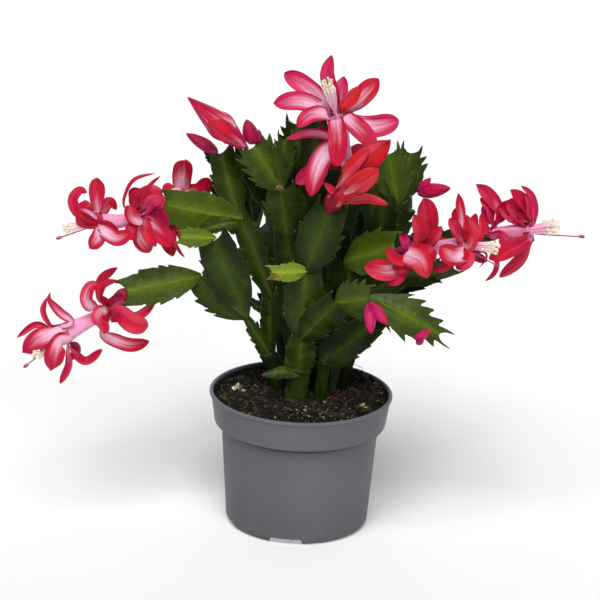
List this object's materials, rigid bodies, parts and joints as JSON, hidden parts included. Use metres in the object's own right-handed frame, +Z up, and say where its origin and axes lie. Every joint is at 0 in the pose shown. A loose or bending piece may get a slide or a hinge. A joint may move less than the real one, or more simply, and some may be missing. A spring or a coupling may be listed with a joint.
{
  "type": "potted christmas cactus",
  "caption": "Christmas cactus in flower in a round nursery pot: flat toothed leaf segments in arching chains, two-tiered blooms and pointed buds at their tips.",
  "frame": {"origin": "middle of the pot's flat underside", "axes": "+Z up along the pot's axis, -Y towards the viewer of the picture, +X to the viewer's right"},
  "size_m": [0.3599, 0.217, 0.3161],
  "materials": {
    "pot_grey": "satin",
    "soil_brown": "rough",
    "leaf_green": "satin",
    "petal_pink": "soft",
    "petal_orange": "soft",
    "bud_pink": "soft",
    "anther_cream": "rough",
    "style_magenta": "soft"
  },
  "bodies": {
    "root": {"pot": "pot_grey", "soil": "soil_brown", "stem_centre": "leaf_green", "stem_right_base": "leaf_green", "stem_left_low": "leaf_green", "stem_left_high": "leaf_green", "stem_mid_left": "leaf_green", "stem_top": "leaf_green", "stem_right_mid": "leaf_green", "stem_upper_right": "leaf_green", "stem_right_far": "leaf_green", "stem_back_left": "leaf_green", "stem_back": "leaf_green", "stem_back_right": "leaf_green", "bloom_low_left": "petal_pink", "bloom_high_left": "petal_pink", "bloom_behind_left": "petal_pink", "bloom_top": "petal_pink", "bloom_right": "petal_pink", "bloom_far_right": "petal_pink", "bloom_half_open": "petal_orange", "bud_large": "bud_pink", "bud_small_left": "bud_pink", "bud_top_pair": "bud_pink", "bud_right_pair": "bud_pink", "bud_pink_pair": "bud_pink", "bud_tiny_pair": "bud_pink", "bud_back": "bud_pink", "stamens_low_left": "anther_cream", "stamens_high_left": "anther_cream", "stamens_behind_left": "anther_cream", "stamens_top": "anther_cream", "stamens_right": "anther_cream", "stamens_far_right": "anther_cream", "style_low_left": "style_magenta", "style_high_left": "style_magenta", "style_behind_left": "style_magenta", "style_top": "style_magenta", "style_right": "style_magenta", "style_far_right": "style_magenta"}
  },
  "joints": []
}
